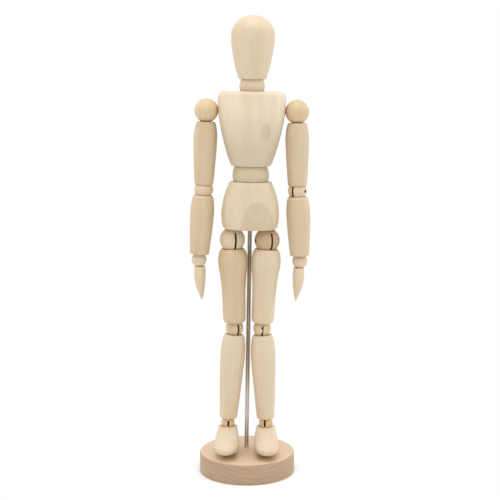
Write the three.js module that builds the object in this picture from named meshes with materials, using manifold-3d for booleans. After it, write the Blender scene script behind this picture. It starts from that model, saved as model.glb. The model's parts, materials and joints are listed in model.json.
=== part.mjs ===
// Jointed wooden figure on a round stand. Millimetres, +Z up, origin at the centre of the base's underside.
// The figure faces -Y. Left and right are the figure's own, so left is +X.
import * as THREE from 'three';
import { mergeVertices } from 'three/addons/utils/BufferGeometryUtils.js';
import Module from 'manifold-3d';

// Fits
const GAP = 0.3;
const PIN_GAP = 0.15;

// Stand
const BASE_DIAMETER = 63;
const BASE_THICKNESS = 14;
const BASE_EDGE = 1.4;
const ROD_DIAMETER = 3;
const ROD_SIDE = -0.4;
const ROD_BEHIND_BODY = 9;
const BODY_FORWARD = 3.5;
const ROD_LEAN = 0.9;
const ROD_IN_BASE = 10;
const ROD_IN_PELVIS = 14;

// Joint balls, by diameter
const HIP_BALL = 16.4;
const KNEE_BALL = 11.6;
const ANKLE_BALL = 8.8;
const SHOULDER_BALL = 15.4;
const ELBOW_BALL = 12.1;
const WRIST_BALL = 9.8;
const WAIST_BALL = 23.6;
const NECK_BALL = 16.2;

// Saw kerfs, cross pins and the wire eyes that hook on them
const KERF_WIDTH = 1.3;
const KERF_PAST_PIN = 1.7;
const KERF_STOPS_SHORT = 3;
const PIN_DIAMETER = 1.4;
const PIN_SINK = 0.5;
const PIN_BLIND_WALL = 1.3;
const WIRE_DIAMETER = 0.5;
const EYE_RADIUS = 1.15;
const EYE_OFFSET = 0.31;
const EYE_OPENING = 60;
const TAIL_BORE = 2.4;
const SPRING_DIAMETER = 4;
const SPRING_PITCH = 1.6;
const SPRING_TURNS = 3;
const SPRING_LENGTH = SPRING_TURNS * SPRING_PITCH;
const SPRING_BORE = SPRING_DIAMETER + 2 * GAP;
const TENON_DIAMETER = 2.8;
const TENON_LENGTH = 2.2;

// Legs: heights are above the base's top face
const ANKLE_HEIGHT = 19.8;
const CALF_LENGTH = 64.1;
const THIGH_LENGTH = 58.5;
const HIP_SPACING = 22.5;
const THIGH_LEAN_IN = 2.2;
const CALF_LEAN_OUT = 3.2;
const TOE_OUT = 3;
const THIGH_TOP_DROP = 5.8;
const THIGH_END_RISE = 4;
const CALF_TOP_DROP = 4.3;
const CALF_END_RISE = 3.5;
const THIGH_END_EDGE = 0.4;
const CALF_END_EDGE = 0.9;

// Torso heights and widths
const PELVIS_ABOVE_HIP = 7;
const PELVIS_HEIGHT = 31;
const PELVIS_WIDTH = 37.7;
const PELVIS_DEPTH = 28;
const WAIST_ABOVE_PELVIS = 4.2;
const CHEST_ABOVE_WAIST = 5.9;
const CHEST_HEIGHT = 47.5;
const CHEST_WIDTH = 43.6;
const CHEST_DEPTH = 26.4;
const NECK_ABOVE_CHEST = 3.3;
const HEAD_ABOVE_NECK = 4.2;
const HEAD_HEIGHT = 40.5;
const HEAD_WIDTH = 27.8;
const BALL_FLAT = 0.76;
const TORSO_SPRING_GRIP = 10;
const NECK_SPRING_GRIP = 3.4;
const HIP_SPRING_GRIP = 15;

// Arms
const SHOULDER_BELOW_TOP = 12.6;
const SHOULDER_SEAT = 0.5;
const UPPER_ARM_LENGTH = 50.6;
const FOREARM_LENGTH = 45.9;
const UPPER_ARM_LEAN_OUT = 1.4;
const FOREARM_LEAN_OUT = 3.2;
const UPPER_ARM_TOP_DROP = 7.1;
const UPPER_ARM_END_RISE = 3.5;
const FOREARM_TOP_DROP = 3.7;
const FOREARM_END_RISE = 3.9;
const UPPER_ARM_END_EDGE = 0.2;
const FOREARM_END_EDGE = 0.3;
const HAND_LENGTH = 26.6;
const HAND_BREADTH = 12.4;
const HAND_THICKNESS = 7.5;

// Feet
const FOOT_WIDTH = 16.4;
const FOOT_FRONT = 24.5;
const FOOT_BACK = 12;
const FOOT_WIDEST = 10;
const FOOT_POWER = 2.05;
const COLLAR_DIAMETER = 12.4;
const COLLAR_DROP = 2.4;
const SOLE_GAP = 0.7;

// Turn of each ball's kerf away from straight ahead, and the end that its pin was driven in from
const KERFS = {
  left_hip: { turn: 24, from: -1 },
  right_hip: { turn: 17, from: 1 },
  left_knee: { turn: 2, from: 1 },
  right_knee: { turn: 28, from: 1 },
  left_ankle: { turn: -10, from: 1 },
  right_ankle: { turn: 5, from: 1 },
  left_shoulder: { turn: 90, from: 1 },
  right_shoulder: { turn: 90, from: 1 },
  left_elbow: { turn: -34, from: 1 },
  right_elbow: { turn: 85, from: 1 },
  left_wrist: { turn: 90, from: 1 },
  right_wrist: { turn: 90, from: 1 },
};

// Facets
const BALL_SIDES = 14;
const BALL_ROWS = 7;
const BLOCK_BALL_SIDES = 16;
const BLOCK_BALL_ROWS = 9;
const LIMB_SIDES = 14;
const LIMB_STEPS = 6;
const HEAD_SIDES = 18;
const HEAD_STEPS = 11;
const BASE_SIDES = 36;
const BLOCK_SIDES = 20;
const FOOT_SIDES = 18;
const HAND_SIDES = 10;
const ROD_SIDES = 12;
const BORE_SIDES = 6;
const PIN_SIDES = 6;
const WIRE_SIDES = 3;
const TURN_STEPS = 5;
const EYE_STEPS = 4;
const SOLE_SIDES = 60;
const EDGE_STEPS = 3;

const WELD = 1e-5;
const UP = new THREE.Vector3(0, 0, 1);
// A direction that no wire sets out along.
const ASKEW = new THREE.Vector3(0.31, 0.83, 0.46);
const RIGHT_ANGLE = Math.PI / 2;
const wasm = await Module();
wasm.setup();

const wood = { color: 0xe9d5b4, roughness: 0.55, metalness: 0 };
const ballWood = { color: 0xdcc19b, roughness: 0.55, metalness: 0 };
const baseWood = { color: 0xd3ae8c, roughness: 0.55, metalness: 0 };
const steel = { color: 0xc8c6c2, roughness: 0.25, metalness: 1 };
const springSteel = { color: 0x9a9a98, roughness: 0.4, metalness: 1 };

// Solids and meshes

function toSolid(geometry) {
  const bare = new THREE.BufferGeometry();
  bare.setAttribute('position', geometry.getAttribute('position').clone());
  if (geometry.index) {
    bare.setIndex(geometry.index.clone());
  }
  const welded = mergeVertices(bare, WELD);
  const corners = welded.index.array;
  const triangles = [];
  for (let i = 0; i < corners.length; i += 3) {
    const [a, b, c] = corners.slice(i, i + 3);
    if (a !== b && b !== c && c !== a) {
      triangles.push(a, b, c);
    }
  }
  return new wasm.Manifold(new wasm.Mesh({
    numProp: 3,
    vertProperties: new Float32Array(welded.getAttribute('position').array),
    triVerts: new Uint32Array(triangles),
  }));
}

function toGeometry(solid) {
  const { vertProperties, triVerts } = solid.getMesh();
  const geometry = new THREE.BufferGeometry();
  geometry.setAttribute('position', new THREE.BufferAttribute(vertProperties, 3));
  geometry.setIndex(new THREE.BufferAttribute(triVerts, 1));
  geometry.computeVertexNormals();
  return geometry;
}

function cut(geometry, ...tools) {
  let solid = toSolid(geometry);
  for (const tool of tools) {
    solid = solid.subtract(toSolid(tool));
  }
  return toGeometry(solid);
}

function piece(name, geometry, finish, position, quaternion) {
  const mesh = new THREE.Mesh(geometry, new THREE.MeshStandardMaterial(finish));
  mesh.name = name;
  if (position) {
    mesh.position.copy(position);
  }
  if (quaternion) {
    mesh.quaternion.copy(quaternion);
  }
  return mesh;
}

// Forms

function turned(outline, sides) {
  const points = outline.map(([radius, z]) => new THREE.Vector2(radius, z));
  return new THREE.LatheGeometry(points, sides).rotateX(RIGHT_ANGLE);
}

function rod(diameter, length, sides) {
  return new THREE.CylinderGeometry(diameter / 2, diameter / 2, length, sides).rotateX(RIGHT_ANGLE);
}

// A round hole whose flats, not its corners, lie on the stated diameter.
function bore(diameter, length, sides = BORE_SIDES) {
  return rod(diameter / Math.cos(Math.PI / sides), length, sides);
}

function ball(diameter, sides = BALL_SIDES, rows = BALL_ROWS) {
  return new THREE.SphereGeometry(diameter / 2, sides, rows).rotateX(RIGHT_ANGLE);
}

// A ball that clears one of the stated diameter by the fit gap on every facet.
function socket(diameter, sides = BALL_SIDES, rows = BALL_ROWS) {
  const facet = Math.cos(Math.PI / sides) * Math.cos(Math.PI / (2 * rows));
  return ball((diameter + 2 * GAP) / facet, sides, rows);
}

// The waist and neck balls and their sockets are finer than the limbs'.
function blockBall(diameter) {
  return ball(diameter, BLOCK_BALL_SIDES, BLOCK_BALL_ROWS);
}

function blockSocket(diameter) {
  return socket(diameter, BLOCK_BALL_SIDES, BLOCK_BALL_ROWS);
}

function smooth(waypoints, steps) {
  const curve = new THREE.SplineCurve(waypoints.map(([radius, z]) => new THREE.Vector2(radius, z)));
  return curve.getPoints(steps).map((point) => [point.x, point.y]);
}

// Skins a stack of rings that have the same number of points, and closes both ends flat.
function loft(rings) {
  const sides = rings[0].length;
  const points = rings.flat();
  const triangles = [];
  for (let ring = 0; ring < rings.length - 1; ring++) {
    for (let side = 0; side < sides; side++) {
      const a = ring * sides + side;
      const b = ring * sides + (side + 1) % sides;
      triangles.push(a, b, a + sides, b, b + sides, a + sides);
    }
  }
  const last = (rings.length - 1) * sides;
  for (let side = 1; side < sides - 1; side++) {
    triangles.push(0, side + 1, side);
    triangles.push(last, last + side, last + side + 1);
  }
  const geometry = new THREE.BufferGeometry().setFromPoints(points);
  geometry.setIndex(triangles);
  return geometry;
}

// A ring with rounded corners: power 2 is an ellipse, higher powers are squarer.
function ring({ halfWidth, front, back, z, power = 2, side = 0, ahead = 0 }, sides) {
  const points = [];
  for (let i = 0; i < sides; i++) {
    const angle = (i / sides) * 2 * Math.PI;
    const across = Math.cos(angle);
    const along = Math.sin(angle);
    const reach = along < 0 ? front : back;
    const x = halfWidth * Math.sign(across) * Math.abs(across) ** (2 / power);
    const y = reach * Math.sign(along) * Math.abs(along) ** (2 / power);
    points.push(new THREE.Vector3(side + x, y - ahead, z));
  }
  return points;
}

// A round wire through the given points, with flat ends.
function wire(points) {
  const rings = [];
  const direction = new THREE.Vector3().subVectors(points[1], points[0]).normalize();
  const across = ASKEW.clone().cross(direction).normalize();
  points.forEach((point, i) => {
    const next = points[Math.min(i + 1, points.length - 1)];
    const previous = points[Math.max(i - 1, 0)];
    const ahead = new THREE.Vector3().subVectors(next, previous).normalize();
    across.addScaledVector(ahead, -across.dot(ahead)).normalize();
    const up = new THREE.Vector3().crossVectors(ahead, across);
    const section = [];
    for (let side = 0; side < WIRE_SIDES; side++) {
      const angle = (side / WIRE_SIDES) * 2 * Math.PI;
      const corner = point.clone();
      corner.addScaledVector(across, (WIRE_DIAMETER / 2) * Math.cos(angle));
      corner.addScaledVector(up, (WIRE_DIAMETER / 2) * Math.sin(angle));
      section.push(corner);
    }
    rings.push(section);
  });
  return loft(rings);
}

// Springs

// An eye round a pin at the given centre, and its tail leaving towards a point on the spring's own line.
function eye({ centre, pinAxis, radius, offset }, towards) {
  const middle = centre.clone().addScaledVector(pinAxis, offset);
  const out = towards.clone().addScaledVector(pinAxis, -towards.dot(pinAxis)).normalize();
  const side = new THREE.Vector3().crossVectors(pinAxis, out);
  const points = [];
  const sweep = 360 - EYE_OPENING;
  for (let i = 0; i <= EYE_STEPS; i++) {
    const angle = THREE.MathUtils.degToRad(sweep * (1 - i / EYE_STEPS));
    const point = middle.clone();
    point.addScaledVector(out, EYE_RADIUS * Math.cos(angle));
    point.addScaledVector(side, EYE_RADIUS * Math.sin(angle));
    points.push(point);
  }
  points.push(middle.clone().addScaledVector(out, radius));
  return points;
}

// Close turns along a direction, half of them each side of the middle.
function coil(middle, ahead) {
  const across = new THREE.Vector3(0, 1, 0).cross(ahead).normalize();
  const up = new THREE.Vector3().crossVectors(ahead, across);
  const radius = (SPRING_DIAMETER - WIRE_DIAMETER) / 2;
  const points = [];
  for (let i = 0; i <= SPRING_TURNS * TURN_STEPS; i++) {
    const turn = i / TURN_STEPS;
    const point = middle.clone().addScaledVector(ahead, (turn - SPRING_TURNS / 2) * SPRING_PITCH);
    point.addScaledVector(across, radius * Math.cos(turn * 2 * Math.PI));
    point.addScaledVector(up, radius * Math.sin(turn * 2 * Math.PI));
    points.push(point);
  }
  return points;
}

// A spring hooked on a pin at each end, with straight tails from its middle coil.
function hookedSpring(first, last) {
  const ahead = new THREE.Vector3().subVectors(last.centre, first.centre).normalize();
  const middle = new THREE.Vector3().lerpVectors(first.centre, last.centre, 0.5);
  const tailStart = (SPRING_TURNS / 2 + 1) * SPRING_PITCH;
  return wire([
    ...eye(first, ahead),
    middle.clone().addScaledVector(ahead, -tailStart),
    ...coil(middle, ahead),
    middle.clone().addScaledVector(ahead, tailStart),
    ...eye(last, ahead.clone().negate()).reverse(),
  ]);
}

// Balls with a saw kerf below (or above) the pin, in their own frame: the pin lies along X.

function slottedBall(diameter, from, { kerfAbove = false, topBore = false, tenonBore = false } = {}) {
  const radius = diameter / 2;
  const facing = kerfAbove ? 1 : -1;
  const kerfPastPin = Math.max(KERF_PAST_PIN, radius - KERF_STOPS_SHORT);
  const kerfHeight = radius + kerfPastPin + GAP;
  const kerf = new THREE.BoxGeometry(KERF_WIDTH, diameter + 2 * GAP, kerfHeight);
  kerf.translate(0, 0, facing * (kerfHeight / 2 - kerfPastPin));
  const pinBoreLength = diameter - PIN_BLIND_WALL;
  const pinBore = bore(PIN_DIAMETER + 2 * PIN_GAP, pinBoreLength + GAP, PIN_SIDES).rotateY(RIGHT_ANGLE);
  pinBore.translate(from * (radius + GAP - (pinBoreLength + GAP) / 2), 0, 0);
  const tools = [kerf, pinBore];
  if (topBore) {
    tools.push(bore(TAIL_BORE, radius + GAP).translate(0, 0, (radius + GAP) / 2));
  }
  if (tenonBore) {
    const depth = TENON_LENGTH + 2 * GAP;
    tools.push(bore(TENON_DIAMETER + 2 * GAP, depth).translate(0, 0, -radius - GAP + depth / 2));
  }
  return cut(ball(diameter), ...tools);
}

function crossPin(diameter, from) {
  const length = diameter - PIN_BLIND_WALL - PIN_SINK - PIN_GAP;
  const end = from * (diameter / 2 - PIN_SINK);
  return rod(PIN_DIAMETER, length, PIN_SIDES).rotateY(RIGHT_ANGLE).translate(end - from * length / 2, 0, 0);
}

// Limbs, hung from the centre of their upper ball along -Z

function limb({ length, upperBall, lowerBall, topDrop, endRise, outline, endEdge }) {
  const top = -topDrop;
  const bottom = endRise - length;
  const waypoints = outline.map(([share, radius]) => [radius, top + (bottom - top) * share]).reverse();
  waypoints[0][1] += endEdge;
  const endRadius = waypoints[0][0];
  const profile = [[0, bottom], [endRadius - endEdge, bottom], ...smooth(waypoints, LIMB_STEPS), [0, top]];
  return cut(
    turned(profile, LIMB_SIDES),
    socket(upperBall),
    socket(lowerBall).translate(0, 0, -length),
    bore(SPRING_BORE, length).translate(0, 0, -length / 2),
  );
}

const thighOutline = [[0, 7.6], [0.06, 9], [0.18, 9.7], [0.38, 8.5], [0.6, 7.7], [0.92, 7.4], [1, 6.4]];
const calfOutline = [[0, 6.2], [0.06, 7.4], [0.24, 8.15], [0.6, 7.2], [1, 5.8]];
const upperArmOutline = [[0, 5.7], [0.07, 6.8], [0.25, 7.65], [0.6, 7.1], [1, 6.15]];
const forearmOutline = [[0, 5.9], [0.06, 7], [0.26, 7.75], [0.6, 7.3], [1, 6.2]];
const headOutline = [
  [0, 0.62], [0.04, 0.67], [0.2, 0.8], [0.42, 0.93], [0.64, 1], [0.78, 0.95], [0.9, 0.72], [0.97, 0.4], [1, 0],
];

// Base and rod

const bodyY = ROD_BEHIND_BODY - BODY_FORWARD;
const rodLean = THREE.MathUtils.degToRad(ROD_LEAN);
const figure = new THREE.Group();
figure.position.set(ROD_SIDE, bodyY, BASE_THICKNESS);
figure.rotation.y = rodLean;
const mannequin = new THREE.Group();
mannequin.add(figure);

function baseDisc() {
  const radius = BASE_DIAMETER / 2;
  const arc = [];
  for (let step = 0; step <= EDGE_STEPS; step++) {
    const angle = RIGHT_ANGLE * step / EDGE_STEPS;
    const r = radius - BASE_EDGE * (1 - Math.cos(angle));
    arc.push([r, BASE_THICKNESS - BASE_EDGE * (1 - Math.sin(angle))]);
  }
  const chamfer = BASE_EDGE / 2;
  const profile = [[0, 0], [radius - chamfer, 0], [radius, chamfer], ...arc, [0, BASE_THICKNESS]];
  const hole = bore(ROD_DIAMETER + 2 * PIN_GAP, 2 * ROD_IN_BASE, ROD_SIDES);
  hole.rotateY(rodLean).translate(ROD_SIDE, bodyY, BASE_THICKNESS);
  return cut(turned(profile, BASE_SIDES), hole);
}

mannequin.add(piece('base', baseDisc(), baseWood));

// Joint centres in the figure's own frame: the rod is its Z axis and the base's top its zero.

const thighLean = THREE.MathUtils.degToRad(THIGH_LEAN_IN);
const calfLean = THREE.MathUtils.degToRad(CALF_LEAN_OUT);
const upperArmLean = THREE.MathUtils.degToRad(UPPER_ARM_LEAN_OUT);
const forearmLean = THREE.MathUtils.degToRad(FOREARM_LEAN_OUT);
const kneeHeight = ANKLE_HEIGHT + CALF_LENGTH * Math.cos(calfLean);
const hipHeight = kneeHeight + THIGH_LENGTH * Math.cos(thighLean);
const pelvisBottom = hipHeight + PELVIS_ABOVE_HIP;
const pelvisTop = pelvisBottom + PELVIS_HEIGHT;
const waistHeight = pelvisTop + WAIST_ABOVE_PELVIS;
const chestBottom = waistHeight + CHEST_ABOVE_WAIST;
const chestTop = chestBottom + CHEST_HEIGHT;
const neckHeight = chestTop + NECK_ABOVE_CHEST;
const headBottom = neckHeight + HEAD_ABOVE_NECK;
const shoulderHeight = chestTop - SHOULDER_BELOW_TOP;
const hipX = HIP_SPACING / 2;
const kneeX = hipX - THIGH_LENGTH * Math.sin(thighLean);
const ankleX = kneeX + CALF_LENGTH * Math.sin(calfLean);
const shoulderX = CHEST_WIDTH / 2 + SHOULDER_BALL / 2 - SHOULDER_SEAT;

function at(x, z) {
  return new THREE.Vector3(x, -ROD_BEHIND_BODY, z);
}

const rodLength = ROD_IN_BASE + pelvisBottom + ROD_IN_PELVIS - GAP;
const supportRod = rod(ROD_DIAMETER, rodLength, ROD_SIDES);
supportRod.translate(0, 0, rodLength / 2 - ROD_IN_BASE + GAP);
figure.add(piece('support_rod', supportRod, steel));

// Torso

function block(sections, halfWidth, halfDepth, bottom, height) {
  const rings = sections.map(([share, wide, deep, power]) => ring({
    halfWidth: halfWidth * wide,
    front: halfDepth * deep,
    back: halfDepth * deep,
    z: bottom + height * share,
    power,
  }, BLOCK_SIDES));
  return loft(rings);
}

const pelvisSections = [
  [0, 0.84, 0.68, 2.6], [0.035, 0.92, 0.84, 2.6], [0.12, 0.975, 0.95, 2.6], [0.34, 1, 1, 2.6],
  [0.6, 0.95, 1, 2.5], [0.8, 0.855, 0.97, 2.4], [0.96, 0.745, 0.92, 2.3], [1, 0.71, 0.89, 2.2],
];
const chestSections = [
  [0, 0.56, 0.87, 2.2], [0.035, 0.61, 0.92, 2.3], [0.18, 0.73, 0.98, 2.5], [0.4, 0.855, 1, 2.7],
  [0.6, 0.945, 0.99, 2.9], [0.75, 0.985, 0.95, 3], [0.9, 1, 0.88, 3], [0.965, 0.965, 0.83, 3], [1, 0.86, 0.72, 2.8],
];

function pelvisBlock() {
  const solid = block(pelvisSections, PELVIS_WIDTH / 2, PELVIS_DEPTH / 2, 0, PELVIS_HEIGHT);
  const waistBottom = PELVIS_HEIGHT + WAIST_ABOVE_PELVIS - WAIST_BALL / 2;
  const tools = [
    blockSocket(WAIST_BALL).translate(0, 0, PELVIS_HEIGHT + WAIST_ABOVE_PELVIS),
    bore(SPRING_BORE, 2 * TORSO_SPRING_GRIP).translate(0, 0, waistBottom),
    bore(ROD_DIAMETER + 2 * GAP, 2 * ROD_IN_PELVIS, ROD_SIDES).translate(0, ROD_BEHIND_BODY, 0),
  ];
  for (const side of [-1, 1]) {
    const hipTop = HIP_BALL / 2 - PELVIS_ABOVE_HIP;
    tools.push(socket(HIP_BALL).translate(side * hipX, 0, -PELVIS_ABOVE_HIP));
    tools.push(bore(SPRING_BORE, 2 * HIP_SPRING_GRIP).translate(side * hipX, 0, hipTop));
  }
  return cut(solid, ...tools);
}

function chestBlock() {
  const solid = block(chestSections, CHEST_WIDTH / 2, CHEST_DEPTH / 2, 0, CHEST_HEIGHT);
  const waistTop = WAIST_BALL / 2 - CHEST_ABOVE_WAIST;
  const neckBottom = CHEST_HEIGHT + NECK_ABOVE_CHEST - NECK_BALL / 2;
  const shoulder = CHEST_HEIGHT - SHOULDER_BELOW_TOP;
  return cut(
    solid,
    blockSocket(WAIST_BALL).translate(0, 0, -CHEST_ABOVE_WAIST),
    bore(SPRING_BORE, 2 * TORSO_SPRING_GRIP).translate(0, 0, waistTop),
    blockSocket(NECK_BALL).translate(0, 0, CHEST_HEIGHT + NECK_ABOVE_CHEST),
    bore(SPRING_BORE, 2 * NECK_SPRING_GRIP).translate(0, 0, neckBottom),
    socket(SHOULDER_BALL).translate(shoulderX, 0, shoulder),
    socket(SHOULDER_BALL).translate(-shoulderX, 0, shoulder),
    bore(SPRING_BORE, CHEST_WIDTH).rotateY(RIGHT_ANGLE).translate(0, 0, shoulder),
  );
}

// A ball with flats above and below, bored through for its spring.
function boredBall(diameter) {
  const flat = (diameter / 2) * BALL_FLAT;
  const keep = new THREE.CylinderGeometry(diameter, diameter, 2 * flat, BALL_SIDES).rotateX(RIGHT_ANGLE);
  const solid = toSolid(blockBall(diameter)).intersect(toSolid(keep));
  return toGeometry(solid.subtract(toSolid(bore(SPRING_BORE, diameter))));
}

function headEgg() {
  const waypoints = headOutline.map(([share, wide]) => [wide * HEAD_WIDTH / 2, share * HEAD_HEIGHT]);
  const profile = [[0, 0], ...smooth(waypoints, HEAD_STEPS)];
  profile[profile.length - 1][0] = 0;
  const neckTop = NECK_BALL / 2 - HEAD_ABOVE_NECK;
  return cut(
    turned(profile, HEAD_SIDES),
    blockSocket(NECK_BALL).translate(0, 0, -HEAD_ABOVE_NECK),
    bore(SPRING_BORE, 2 * TORSO_SPRING_GRIP).translate(0, 0, neckTop),
  );
}

figure.add(piece('pelvis', pelvisBlock(), wood, at(0, pelvisBottom)));
figure.add(piece('waist', boredBall(WAIST_BALL), ballWood, at(0, waistHeight)));
figure.add(piece('chest', chestBlock(), wood, at(0, chestBottom)));
figure.add(piece('neck', boredBall(NECK_BALL), ballWood, at(0, neckHeight)));
figure.add(piece('head', headEgg(), wood, at(0, headBottom)));

// A straight wire with a coil screwed into the bore at each end.
function screwedSpring(lower, upper) {
  const low = lower.clone().addScaledVector(UP, SPRING_LENGTH / 2);
  const high = upper.clone().addScaledVector(UP, -SPRING_LENGTH / 2);
  return wire([
    ...coil(low, UP),
    low.clone().addScaledVector(UP, SPRING_LENGTH / 2 + SPRING_PITCH),
    high.clone().addScaledVector(UP, -SPRING_LENGTH / 2 - SPRING_PITCH),
    ...coil(high, UP),
  ]);
}

const waistReach = WAIST_BALL / 2 + TORSO_SPRING_GRIP - SPRING_PITCH;
const waistSpring = screwedSpring(at(0, waistHeight - waistReach), at(0, waistHeight + waistReach));
figure.add(piece('waist_spring', waistSpring, springSteel));
const neckLow = neckHeight - NECK_BALL / 2 - NECK_SPRING_GRIP + WIRE_DIAMETER;
const neckHigh = neckHeight + NECK_BALL / 2 + TORSO_SPRING_GRIP - SPRING_PITCH;
figure.add(piece('neck_spring', screwedSpring(at(0, neckLow), at(0, neckHigh)), springSteel));

// Limb balls and pins

function turnOf(joint, upDirection) {
  const align = new THREE.Quaternion().setFromUnitVectors(UP, upDirection);
  const turn = new THREE.Quaternion().setFromAxisAngle(UP, THREE.MathUtils.degToRad(KERFS[joint].turn));
  return align.multiply(turn);
}

function addJoint(joint, diameter, centre, upDirection, options) {
  const { from } = KERFS[joint];
  const turn = turnOf(joint, upDirection);
  figure.add(piece(`${joint}_ball`, slottedBall(diameter, from, options), ballWood, centre, turn));
  figure.add(piece(`${joint}_pin`, crossPin(diameter, from), springSteel, centre, turn));
  const pinAxis = new THREE.Vector3(1, 0, 0).applyQuaternion(turn);
  return { centre, pinAxis, radius: diameter / 2 };
}

// A spring's eye takes one side of the kerf, so that two eyes can share a pin.
function hook(joint, side) {
  return { ...joint, offset: side * EYE_OFFSET };
}

function addLimb(name, outline, upper, lower, upDirection, ends) {
  const length = upper.centre.distanceTo(lower.centre);
  const geometry = limb({
    length,
    upperBall: 2 * upper.radius,
    lowerBall: 2 * lower.radius,
    outline,
    ...ends,
  });
  const turn = new THREE.Quaternion().setFromUnitVectors(UP, upDirection);
  figure.add(piece(name, geometry, wood, upper.centre, turn));
  figure.add(piece(`${name}_spring`, hookedSpring(hook(upper, 1), hook(lower, -1)), springSteel));
}

// Feet and hands, in frames at the centre of their ball

const footSections = [
  { rise: 0, wide: 0.36, front: 0.42, back: 0.5, widest: 0.4 },
  { rise: 0.05, wide: 0.57, front: 0.6, back: 0.67, widest: 0.6 },
  { rise: 0.1, wide: 0.7, front: 0.72, back: 0.79, widest: 0.75 },
  { rise: 0.17, wide: 0.83, front: 0.85, back: 0.89, widest: 0.9 },
  { rise: 0.28, wide: 0.95, front: 0.96, back: 0.97, widest: 1 },
  { rise: 0.42, wide: 1, front: 1, back: 1, widest: 0.95 },
  { rise: 0.58, wide: 0.95, front: 0.88, back: 0.96, widest: 0.65 },
  { rise: 0.76, wide: 0.85, front: 0.58, back: 0.85, widest: 0.3 },
  { rise: 0.92, wide: 0.77, front: 0.34, back: 0.68, widest: 0.06 },
];

function footBlock(kneeAbove) {
  const soleDrop = ANKLE_HEIGHT - SOLE_GAP;
  const height = soleDrop - COLLAR_DROP;
  const rings = footSections.map(({ rise, wide, front, back, widest }) => ring({
    halfWidth: (FOOT_WIDTH / 2) * wide,
    front: FOOT_FRONT * front - FOOT_WIDEST * widest,
    back: FOOT_BACK * back + FOOT_WIDEST * widest,
    ahead: FOOT_WIDEST * widest,
    z: rise * height - soleDrop,
    power: FOOT_POWER,
  }, FOOT_SIDES));
  const collar = COLLAR_DIAMETER / 2 - GAP;
  rings.push(ring({ halfWidth: collar, front: collar, back: collar, z: -COLLAR_DROP }, FOOT_SIDES));
  const soleRadius = kneeAbove + soleDrop;
  const rocker = new THREE.CylinderGeometry(soleRadius, soleRadius, 2 * FOOT_WIDTH, SOLE_SIDES);
  rocker.rotateZ(RIGHT_ANGLE).translate(0, 0, kneeAbove);
  const tenon = rod(TENON_DIAMETER, 2 * TENON_LENGTH, BORE_SIDES).translate(0, 0, -ANKLE_BALL / 2);
  let solid = toSolid(loft(rings)).intersect(toSolid(rocker));
  solid = solid.subtract(toSolid(socket(ANKLE_BALL)));
  return toGeometry(solid.add(toSolid(tenon)));
}

const handSections = [
  { drop: 0.16, wide: 0.92, broad: 0.7, inward: 0.6 },
  { drop: 0.25, wide: 0.98, broad: 0.86, inward: 0.7 },
  { drop: 0.38, wide: 1, broad: 0.98, inward: 0.7 },
  { drop: 0.52, wide: 0.94, broad: 1, inward: 0.8 },
  { drop: 0.66, wide: 0.78, broad: 0.9, inward: 1.1 },
  { drop: 0.8, wide: 0.52, broad: 0.68, inward: 1.55 },
  { drop: 0.92, wide: 0.25, broad: 0.38, inward: 1.95 },
  { drop: 1, wide: 0.05, broad: 0.1, inward: 2.1 },
];

function handBlock(side) {
  const rings = handSections.map(({ drop, wide, broad, inward }) => ring({
    halfWidth: (HAND_THICKNESS / 2) * wide,
    front: (HAND_BREADTH / 2) * broad,
    back: (HAND_BREADTH / 2) * broad,
    z: -drop * HAND_LENGTH,
    side: -side * inward,
  }, HAND_SIDES));
  const tenon = rod(TENON_DIAMETER, 2 * TENON_LENGTH, BORE_SIDES).translate(0, 0, -WRIST_BALL / 2);
  const solid = toSolid(loft(rings.reverse())).subtract(toSolid(socket(WRIST_BALL)));
  return toGeometry(solid.add(toSolid(tenon)));
}

// Left and right limbs

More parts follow.
